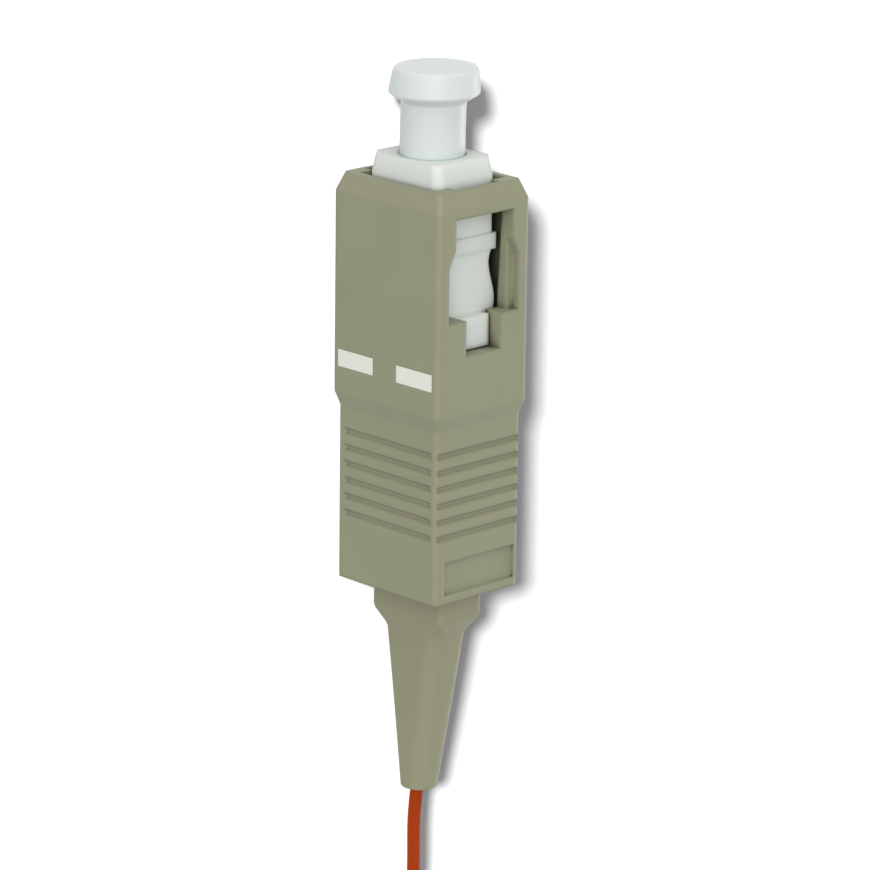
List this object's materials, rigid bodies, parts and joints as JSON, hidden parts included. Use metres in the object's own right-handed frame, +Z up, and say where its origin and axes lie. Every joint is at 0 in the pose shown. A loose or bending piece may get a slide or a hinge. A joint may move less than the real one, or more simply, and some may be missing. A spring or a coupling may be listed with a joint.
{
  "type": "fibre connector",
  "caption": "Push-pull SC fibre connector with a dust cap, spring-loaded ferrule, tapered boot and a short pigtail of tight-buffered fibre put away in a hank.",
  "frame": {"origin": "middle of the connector's footprint (cord left out), on the surface it lies on", "axes": "+X along the connector's axis towards the boot and cord, +Y towards the face with the key rib, +Z up through the window of the upper narrow face"},
  "size_m": [0.0876, 0.0102, 0.009],
  "materials": {
    "sleeve": "moulded, matt beige",
    "mark": "matt white paint",
    "frame": "moulded, satin white",
    "ring_metal": "nickel-plated, turned",
    "boot": "soft moulded, matt beige",
    "spring_steel": "drawn wire",
    "zirconia": "ground ceramic",
    "flange_metal": "turned, plated",
    "glass": "bare fibre",
    "tube": "translucent white",
    "fibre": "extruded, dark orange",
    "cap": "soft moulded, satin white",
    "tie": "flat white tie"
  },
  "bodies": {
    "sleeve": {"outer_sleeve": "sleeve", "index_mark_lower": "mark", "index_mark_upper": "mark"},
    "plug": {"plug_frame": "frame", "stop_ring": "ring_metal", "boot": "boot", "coil_spring": "spring_steel"},
    "ferrule": {"ferrule": "zirconia", "ferrule_flange": "flange_metal", "glass_fibre": "glass", "guide_tube": "tube", "buffered_fibre": "fibre", "fibre_cord": "fibre", "fibre_hank": "fibre", "hank_tie": "tie"},
    "cap": {"dust_cap": "cap"}
  },
  "joints": [
    {"name": "sleeve_pull", "type": "slide", "parent": "sleeve", "child": "plug", "axis": [-1, 0, 0], "range_m": [0, 0.0024]},
    {"name": "ferrule_float", "type": "slide", "parent": "plug", "child": "ferrule", "axis": [1, 0, 0], "range_m": [0, 0.0015], "stiffness_N_per_m": 3000, "springref_m": -0.002, "deforming": ["coil_spring"]},
    {"name": "cap_pull", "type": "slide", "parent": "ferrule", "child": "cap", "axis": [-1, 0, 0], "range_m": [0, 0.008]}
  ]
}
